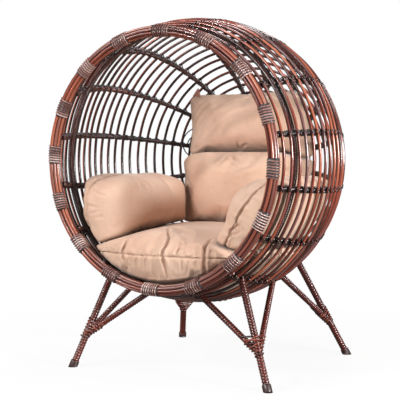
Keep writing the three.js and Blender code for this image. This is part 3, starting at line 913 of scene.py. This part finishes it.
def box_grid(counts):
    """Points and faces of a cube from -1 to 1, with a number of cells along each axis."""
    points, faces, total = [], [], 0
    for axis in range(3):
        first, second = (axis + 1) % 3, (axis + 2) % 3
        steps = [np.linspace(-1, 1, counts[k] + 1) for k in (first, second)]
        a, b = np.meshgrid(*steps, indexing="ij")
        index = np.arange(a.size).reshape(a.shape)
        quads = np.stack([index[:-1, :-1], index[1:, :-1], index[1:, 1:], index[:-1, 1:]], -1)
        quads = quads.reshape(-1, 4)
        for sign in (-1, 1):
            side = np.empty((a.size, 3))
            side[:, axis], side[:, first], side[:, second] = sign, a.ravel(), b.ravel()
            points.append(side)
            faces.append((quads if sign > 0 else quads[:, ::-1]) + total)
            total += a.size
    points, faces = np.concatenate(points), np.concatenate(faces)
    _, kept, merged = np.unique(points.round(6), axis=0, return_index=True, return_inverse=True)
    return points[kept], merged.ravel()[faces]


def allowed(places, limits):
    return np.all([limit(places) <= 0 for limit in limits], axis=0)


def held_inside(places, centre, limits):
    """Draws each point that passes a limit back along its line from the cushion's middle."""
    places = places.copy()
    outside = np.flatnonzero(~allowed(places, limits))
    reach = places[outside] - centre
    low, high = np.zeros(len(outside)), np.ones(len(outside))
    for _ in range(24):
        half = (low + high) / 2
        fits = allowed(centre + reach * half[:, None], limits)
        low, high = np.where(fits, half, low), np.where(fits, high, half)
    places[outside] = centre + reach * low[:, None]
    return places


def relax(places, faces, rounds):
    """Evens out a mesh: each point moves halfway to the middle of its neighbours."""
    edges = np.concatenate([faces[:, [k, (k + 1) % 4]] for k in range(4)])
    edges = np.concatenate([edges, edges[:, ::-1]])
    count = np.bincount(edges[:, 0], minlength=len(places))[:, None]
    for _ in range(rounds):
        total = np.zeros_like(places)
        np.add.at(total, edges[:, 0], places[edges[:, 1]])
        places = (places + total / count) / 2
    return places


def pillow_form(plan):
    """Two crowned panels joined at a seam, cut back by the basket and by the other cushions."""
    reach, centre = np.array(plan["reach"]), np.array(plan["middle"])
    share, faces = box_grid([2 * round(r / GRID_SPACING) for r in reach])
    thin = plan["thin"]
    wide = [k for k in range(3) if k != thin]
    rearward = np.maximum(share[:, 1], 0)
    corner = plan["outline"] + plan["rear_outline"] * rearward
    outline = (np.abs(share[:, wide]) ** corner[:, None]).sum(1) ** (1 / corner)
    crown = plan["crown"] + plan["rear_crown"] * rearward
    total = (outline**crown + np.abs(share[:, thin]) ** crown) ** (1 / crown)
    share /= total[:, None]
    first, second = wide
    drawn = share.copy()
    drawn[:, first] *= 1 - plan["pull"] * (1 - share[:, second] ** 2)
    drawn[:, second] *= 1 - plan["pull"] * (1 - share[:, first] ** 2)
    places = drawn * reach
    places[:, 2] *= np.where(places[:, 2] > 0, plan["upper_share"], 1)
    places[:, 0] += plan["lean"] * places[:, 2] - plan["belly"] * np.maximum(0.02 - places[:, 2], 0)
    places = held_inside(places + centre, centre, plan["limits"])
    return relax(places, faces, plan["rounding"]), faces


def seam_distance(places, plan):
    """How far each point is from the plane that the seam lies in."""
    normal, offset = plan["seam"]
    size = np.linalg.norm(normal)
    return (places @ np.array(normal, float) - offset) / size


def read_places(mesh):
    places = np.empty(len(mesh.vertices) * 3)
    mesh.vertices.foreach_get("co", places)
    return places.reshape(-1, 3)


def read_normals(mesh):
    normals = np.empty(len(mesh.vertices) * 3)
    mesh.vertex_normals.foreach_get("vector", normals)
    return normals.reshape(-1, 3)


def write_places(mesh, places):
    mesh.vertices.foreach_set("co", np.asarray(places, np.float32).ravel())
    mesh.update()


def start_cloth(piece, pinned, slack):
    """Fills the cushion with air, and cuts its cloth a little large, so that it wrinkles."""
    group = piece.vertex_groups.new(name="seam")
    group.add([int(k) for k in pinned], 1.0, "REPLACE")
    cloth = piece.modifiers.new("cloth", "CLOTH")
    settings = cloth.settings
    settings.quality = 5
    settings.mass = 0.3
    settings.tension_stiffness = 15
    settings.compression_stiffness = 15
    settings.shear_stiffness = 5
    settings.bending_stiffness = 0.5
    settings.vertex_group_mass = "seam"
    settings.use_pressure = True
    settings.uniform_pressure_force = 4
    settings.shrink_min = -slack
    settings.shrink_max = -slack
    settings.effector_weights.gravity = 0


CLOTH_FRAMES = 18
CLOTH_TRAVEL = 0.022  # the farthest that the air may move a point


def settle_cloth(pieces):
    """Runs the cloth of all the cushions together, and keeps its result."""
    for number in range(1, CLOTH_FRAMES + 1):
        bpy.context.scene.frame_set(number)
    graph = bpy.context.evaluated_depsgraph_get()
    found = {piece: read_places(piece.evaluated_get(graph).data) for piece in pieces}
    bpy.context.scene.frame_set(1)
    for piece, places in found.items():
        piece.modifiers.clear()
        rest = read_places(piece.data)
        move = places - rest
        size = np.linalg.norm(move, axis=1, keepdims=True)
        share = np.minimum(1, CLOTH_TRAVEL / np.maximum(size, 1e-9))
        write_places(piece.data, rest + move * share)


def divide(piece, rounds):
    """Rounds of subdivision, applied."""
    smooth = piece.modifiers.new("finer", "SUBSURF")
    smooth.levels = rounds
    smooth.render_levels = rounds
    graph = bpy.context.evaluated_depsgraph_get()
    mesh = bpy.data.meshes.new_from_object(piece.evaluated_get(graph))
    piece.modifiers.clear()
    piece.data = mesh


def smooth_route(route, steps_each):
    """Points close together on a curve that follows a route of a few points."""
    route = np.array(route, float)
    steps = np.linspace(0, len(route) - 1, steps_each * len(route))
    dense = np.stack([np.interp(steps, np.arange(len(route)), route[:, k]) for k in range(3)], 1)
    for _ in range(6):
        dense[1:-1] = (dense[:-2] + 2 * dense[1:-1] + dense[2:]) / 4
    return dense


def on_cushion(piece, route):
    """Where the places of a route over the picture lie on a cushion, as the camera sees them."""
    tree = BVHTree.FromObject(piece, bpy.context.evaluated_depsgraph_get())
    turn = camera_turn().to_matrix()
    depth = PICTURE * CAMERA_LENS / SENSOR
    found = []
    for across, down in route:
        ray = turn @ Vector((across - PICTURE / 2, PICTURE / 2 - down, -depth))
        hit = tree.ray_cast(Vector(CAMERA_PLACE), ray.normalized())[0]
        if hit is not None:
            found.append(hit - middle)
    return np.array(found)


def route_distance(places, normals, route):
    """How far each point is from a smooth route, measured along the surface, and the share of the
    route that it is nearest to. Between its places the route may run off the surface."""
    dense = smooth_route(route, 9)
    away = places[:, None] - dense[None]
    height = np.einsum("ijk,ik->ij", away, normals)
    flat = np.sqrt(np.maximum((away**2).sum(2) - height**2, 0))
    flat[np.abs(height) > FOLD_SEARCH] = 1
    return flat.min(1), flat.argmin(1) / (len(dense) - 1)


def fold_profile(places, normals, route, width):
    """A crease along a route and the soft ridge on each side of it, both from 0 to 1. They fade out
    at both ends of the route."""
    span = np.linalg.norm(route - route.mean(0), axis=1).max() + FOLD_SEARCH
    near = np.flatnonzero(np.linalg.norm(places - route.mean(0), axis=1) < span)
    distance, share = route_distance(places[near], normals[near], route)
    fade = np.sqrt(np.clip(np.sin(share * math.pi), 0, 1))
    crease, ridge = np.zeros(len(places)), np.zeros(len(places))
    crease[near] = np.exp(-distance / width) * fade
    ridge[near] = np.exp(-(((distance - 2.4 * width) / (1.4 * width)) ** 2)) * fade
    return crease, ridge


FOLD_SEARCH = 0.035  # how far off the surface a fold's route may run
RIDGE_SHARE = 0.4  # of a crease's depth
SEAM_DEPTH = 0.0090
SEAM_WIDTH = 0.0034
PUCKER_HEIGHT = 0.0042
PUCKER_SPACING = 0.016
PUCKER_REACH = 0.030


def sewn_and_folded(piece, places, normals, plan, folds, seed):
    """How high each point stands: small puckers that run away from the seam on both sides, ridges
    beside the folds, and the deepest of the seam's groove and the creases."""
    distance = np.abs(seam_distance(places, plan))
    flat = places - seam_distance(places, plan)[:, None] * np.array(plan["seam"][0])
    shift = Vector((seed, 0, 0))
    pucker = np.array([noise.noise(Vector(p) / PUCKER_SPACING + shift) for p in flat])
    height = PUCKER_HEIGHT * pucker * np.exp(-distance / PUCKER_REACH)
    dent = SEAM_DEPTH * np.exp(-distance / SEAM_WIDTH)
    for route, depth, width in folds.values():
        crease, ridge = fold_profile(places, normals, on_cushion(piece, route), width)
        dent = np.maximum(dent, depth * crease)
        height = height + RIDGE_SHARE * depth * ridge
    return height - dent


# The creases of each cushion: a route over the picture, in its pixels, then a depth and a width.
SEAT_PLEATS = ((131.5, 254, 265), (137, 255, 271), (146, 255.5, 272.5), (182, 258, 274.5),
               (187.5, 258.5, 273))  # across, and from where to where down
FOLDS = {
    "seat_pillow": {
        "left": ([(131.5, 234), (128.5, 239), (125.5, 244), (122.5, 251.5), (123.5, 258),
                  (129, 267)], 0.012, 0.0040),
        "middle": ([(169.5, 228), (168.5, 234), (169.5, 238), (167, 244.5), (163.5, 250.5),
                    (162.5, 257), (165, 266), (168.5, 280)], 0.016, 0.0042),
        "beside_middle": ([(182, 240), (178.5, 249), (175.5, 258)], 0.008, 0.0040),
        "right": ([(211, 240.5), (207.5, 243.5), (205, 248), (204, 258.5), (204.5, 269),
                   (207, 273)], 0.016, 0.0044),
        "right_branch": ([(213, 239), (208, 242.5), (203, 246)], 0.005, 0.0040),
        "corner": ([(121.5, 236.5), (110.5, 247.5), (112, 254.5)], 0.006, 0.0036),
        **{f"pleat_at_{across}": ([(across, high), (across, low)], 0.0045, 0.0030)
           for across, high, low in SEAT_PLEATS},
    },
    "arm_bolster_left": {
        "pucker_1": ([(94, 180.5), (100, 186), (108, 190)], 0.0035, 0.0036),
        "pucker_2": ([(89.5, 187.5), (98, 194), (106, 196)], 0.0035, 0.0036),
        "pucker_3": ([(85.5, 204), (93, 207), (99, 208)], 0.0028, 0.0036),
        "pucker_4": ([(85.5, 214), (93, 213), (99, 210)], 0.0028, 0.0036),
        "pucker_5": ([(86, 223), (95, 218), (103.5, 216.5)], 0.0028, 0.0036),
    },
    "arm_bolster_right": {
        "seam": ([(261, 187), (250.5, 198), (243.5, 207.5), (238, 216), (236.5, 220), (236.5, 225),
                  (233, 228.5), (230, 231), (231, 234.5), (228, 239), (226, 246)], 0.011, 0.0032),
        "kink": ([(239, 226), (236.5, 225), (234.5, 222.5)], 0.006, 0.0030),
        "pucker_1": ([(240.5, 231.5), (235, 234.5), (230.5, 234.5)], 0.004, 0.0034),
        "pucker_2": ([(251, 205.5), (244.5, 207), (240.5, 205.5)], 0.0025, 0.0034),
    },
    "back_pillow": {
        "tuft_right": ([(229.5, 155), (235, 159.5), (242, 164)], 0.007, 0.0050),
        "tuft_left": ([(230, 153.5), (223.5, 160), (216.5, 166.5)], 0.005, 0.0050),
        "hollow_upper": ([(222, 178), (240, 168), (262, 163)], 0.004, 0.0100),
        "hollow_lower": ([(226, 190), (244, 178), (262, 172)], 0.004, 0.0100),
    },
    "headrest_pillow": {
        "tuft_left": ([(238.5, 149.5), (238.5, 145.5), (235.5, 141)], 0.005, 0.0045),
        "tuft_right": ([(241, 149.5), (243, 146), (248, 144)], 0.005, 0.0045),
        "corner": ([(192.5, 149.5), (196, 148), (201, 144)], 0.004, 0.0050),
    },
}
FINELY_FOLDED = "arm_bolster_right"  # its seam is the thinnest line
RIPPLE_CENTRE = np.array([0.125, 0.262, 0.040])
RIPPLE_UPRIGHT = 1.4  # how much closer together they are above the centre than beside it
RIPPLE_HEIGHT = 0.0013
RIPPLE_FALLS = (0.105, 0.165, 0.226, 0.281, 0.330, 0.358, 0.385, 0.412)  # from the centre
RIPPLE_STRENGTH = ((0.12, 0.20, 0.30, 0.36, 0.41), (0, 1, 1, 0.6, 0))  # places and shares
RIPPLE_LOW = 0.025  # where they start above the centre, and how soon they are at their full height
RIPPLE_FADE = 0.05
RIPPLE_SIDE = 0.05  # they stay on this side of the centre


def add_ripples(places, normals):
    """Shallow curved ripples over the headrest's upper left, closer together towards its corner."""
    flat = places - RIPPLE_CENTRE
    distance = np.hypot(flat[:, 0], flat[:, 2] * RIPPLE_UPRIGHT)
    count = np.interp(distance, RIPPLE_FALLS, np.arange(len(RIPPLE_FALLS)))
    strength = np.interp(distance, *RIPPLE_STRENGTH)
    strength = strength * np.clip((flat[:, 2] - RIPPLE_LOW) / RIPPLE_FADE, 0, 1)
    strength = strength * (flat[:, 0] < RIPPLE_SIDE)
    wave = np.sin(count * 2 * math.pi)
    return places + normals * (RIPPLE_HEIGHT * wave * strength)[:, None]


SOFT_HEIGHT = 0.0045
SOFT_WAVES = 9  # per metre
HEADREST_SOFTNESS = 0.4  # of the other cushions' swells
RESTING_GAP = 0.004


def soft_swells(places, seed):
    """Slow swells and hollows, as in a soft filling."""
    offset = Vector((seed * 3.1, seed * 1.7, seed * 2.3))
    return np.array([SOFT_HEIGHT * noise.noise(Vector(p) * SOFT_WAVES + offset) for p in places])


def pressed(places, normals, limits):
    """Which points rest on something."""
    return ~allowed(places + normals * RESTING_GAP, limits)


def make_cushions():
    origin = np.array(middle)
    pieces = {}
    for name, plan in CUSHIONS.items():
        places, faces = pillow_form(plan)
        pieces[name] = mesh_object(name, places + origin, faces)
        pinned = np.flatnonzero(np.abs(seam_distance(places, plan)) < GRID_SPACING / 2)
        start_cloth(pieces[name], pinned, plan["slack"])
    settle_cloth(list(pieces.values()))
    for seed, (name, plan) in enumerate(CUSHIONS.items()):
        piece, centre = pieces[name], np.array(plan["middle"])
        places = held_inside(read_places(piece.data) - origin, centre, plan["limits"])
        write_places(piece.data, places + origin)
        divide(piece, 2 if name == FINELY_FOLDED else 1)
        places, normals = read_places(piece.data) - origin, read_normals(piece.data)
        swells = soft_swells(places, seed)
        swells[pressed(places, normals, plan["limits"])] = 0
        if name == "headrest_pillow":
            swells *= HEADREST_SOFTNESS
        height = swells + sewn_and_folded(piece, places, normals, plan, FOLDS[name], seed)
        places = places + normals * height[:, None]
        if name == "headrest_pillow":
            places = add_ripples(places, normals)
        write_places(piece.data, held_inside(places, centre, plan["limits"]) + origin)
        piece.data.polygons.foreach_set("use_smooth", np.full(len(piece.data.polygons), True))
        dress(piece, plan["body"], FABRIC, "cushion_fabric", plan["node"])


TAB_ENDS = ((-0.1865, 0.268, 0.236), (-0.1815, 0.270, 0.266))  # the middle of its base and its tip
TAB_WIDTH = 0.037
TAB_THICKNESS = 0.003
TIE_LOOPS = [
    [(-0.216, 0.296, 0.120), (-0.246, 0.304, 0.108), (-0.268, 0.306, 0.084), (-0.272, 0.306, 0.058),
     (-0.258, 0.306, 0.028), (-0.222, 0.300, 0.012)],
    [(-0.216, 0.300, 0.092), (-0.246, 0.312, 0.080), (-0.256, 0.314, 0.060), (-0.246, 0.312, 0.044),
     (-0.216, 0.300, 0.036)],
]
TIE_DIAMETER = 0.0045


def make_ties():
    """The webbing tab on the headrest's upper corner, and the cord loops sewn to its side."""
    tab = Sweep()
    path = np.linspace(*TAB_ENDS, 7) + np.array(middle)
    tab.tube(path, (1, 0, 0.25), np.linspace(TAB_WIDTH / 2, 0.002, 7), 12,
             flat=TAB_THICKNESS / TAB_WIDTH)
    tab.make("headrest_tab", "headrest", STRAP, "cushion_fabric")
    ties = Sweep()
    for loop in TIE_LOOPS:
        path = smooth_route(loop, 6) + np.array(middle)
        ties.tube(path, (0, 1, 0), TIE_DIAMETER / 2, 8)
    ties.make("headrest_ties", "headrest", CORD, "cushion_fabric")


# ---- camera, floor and light ---------------------------------------------------------------------


def camera_turn():
    return Euler((math.radians(90 - CAMERA_ELEVATION), 0, math.radians(CAMERA_AZIMUTH)))


def make_camera():
    data = bpy.data.cameras.new("camera")
    data.sensor_width = SENSOR
    data.lens = CAMERA_LENS
    camera = bpy.data.objects.new("camera", data)
    bpy.context.scene.collection.objects.link(camera)
    camera.location = CAMERA_PLACE
    camera.rotation_euler = camera_turn()
    bpy.context.scene.camera = camera


def make_floor():
    size = 30.0
    places = np.array([[-size, -size, 0], [size, -size, 0], [size, size, 0], [-size, size, 0]])
    floor = mesh_object("floor", places, [[0, 1, 2, 3]], smooth=False)
    nodes = Nodes("floor")
    rays = nodes.add("ShaderNodeLightPath")
    tone = nodes.mix("MIX", (rays, "Is Camera Ray"), FLOOR_TO_OTHER_RAYS, FLOOR_TO_CAMERA)
    nodes.link(tone, 2, nodes.shader, "Base Color")
    nodes.shader.inputs["Roughness"].default_value = 0.9
    glow = nodes.add("ShaderNodeEmission", Strength=1.0)
    share = nodes.add("ShaderNodeMath", operation="MULTIPLY")
    nodes.link(rays, "Is Camera Ray", share, 0)
    distance = nodes.add("ShaderNodeVectorMath", operation="LENGTH")
    nodes.link(nodes.coordinates("Object", (1, 1, 0)), "Vector", distance, 0)
    fade = nodes.add("ShaderNodeMapRange", **{"From Min": 0.5, "From Max": 1.6, "To Min": 0.9})
    nodes.link(distance, "Value", fade, "Value")
    nodes.link(fade, "Result", share, 1)
    blend = nodes.add("ShaderNodeMixShader")
    nodes.link(share, "Value", blend, "Fac")
    nodes.tree.links.new(nodes.shader.outputs["BSDF"], blend.inputs[1])
    nodes.tree.links.new(glow.outputs["Emission"], blend.inputs[2])
    output = next(n for n in nodes.tree.nodes if n.type == "OUTPUT_MATERIAL")
    nodes.link(blend, "Shader", output, "Surface")
    floor.data.materials.append(nodes.material)


def add_lamp(name, place, target, size, power):
    data = bpy.data.lights.new(name, "AREA")
    data.shape = "DISK"
    data.size = size
    data.energy = power
    lamp = bpy.data.objects.new(name, data)
    bpy.context.scene.collection.objects.link(lamp)
    lamp.location = place
    lamp.rotation_euler = (Vector(target) - Vector(place)).to_track_quat("-Z", "Y").to_euler()
    return data


def make_light():
    world = bpy.data.worlds.new("world")
    bpy.context.scene.world = world
    world.use_nodes = True
    tree = world.node_tree
    background = next(n for n in tree.nodes if n.type == "BACKGROUND")
    background.inputs["Color"].default_value = (1, 1, 1, 1)
    rays = tree.nodes.new("ShaderNodeLightPath")
    strength = AMBIENT
    for ray, level_seen in (("Is Glossy Ray", REFLECTED_SKY), ("Is Camera Ray", 1.0)):
        choice = tree.nodes.new("ShaderNodeMix")
        choice.data_type = "FLOAT"
        tree.links.new(rays.outputs[ray], choice.inputs[0])
        if isinstance(strength, float):
            choice.inputs[2].default_value = strength
        else:
            tree.links.new(strength, choice.inputs[2])
        choice.inputs[3].default_value = level_seen
        strength = choice.outputs[0]
    tree.links.new(strength, background.inputs["Strength"])
    for name, place, size, power in LAMPS:
        add_lamp(name, place, LAMP_TARGET, size, power)
    name, place, size, power = SPOT
    add_lamp(name, place, SPOT_TARGET, size, power).spread = SPOT_SPREAD


make_camera()
make_floor()
make_light()
make_rim()
make_hoops()
make_ribs()
make_hub()
for end_name in LEGS:
    make_leg(end_name, "left", -1)
    make_leg(end_name, "right", 1)
make_cushions()
make_ties()

bpy.context.scene.view_settings.view_transform = "Standard"
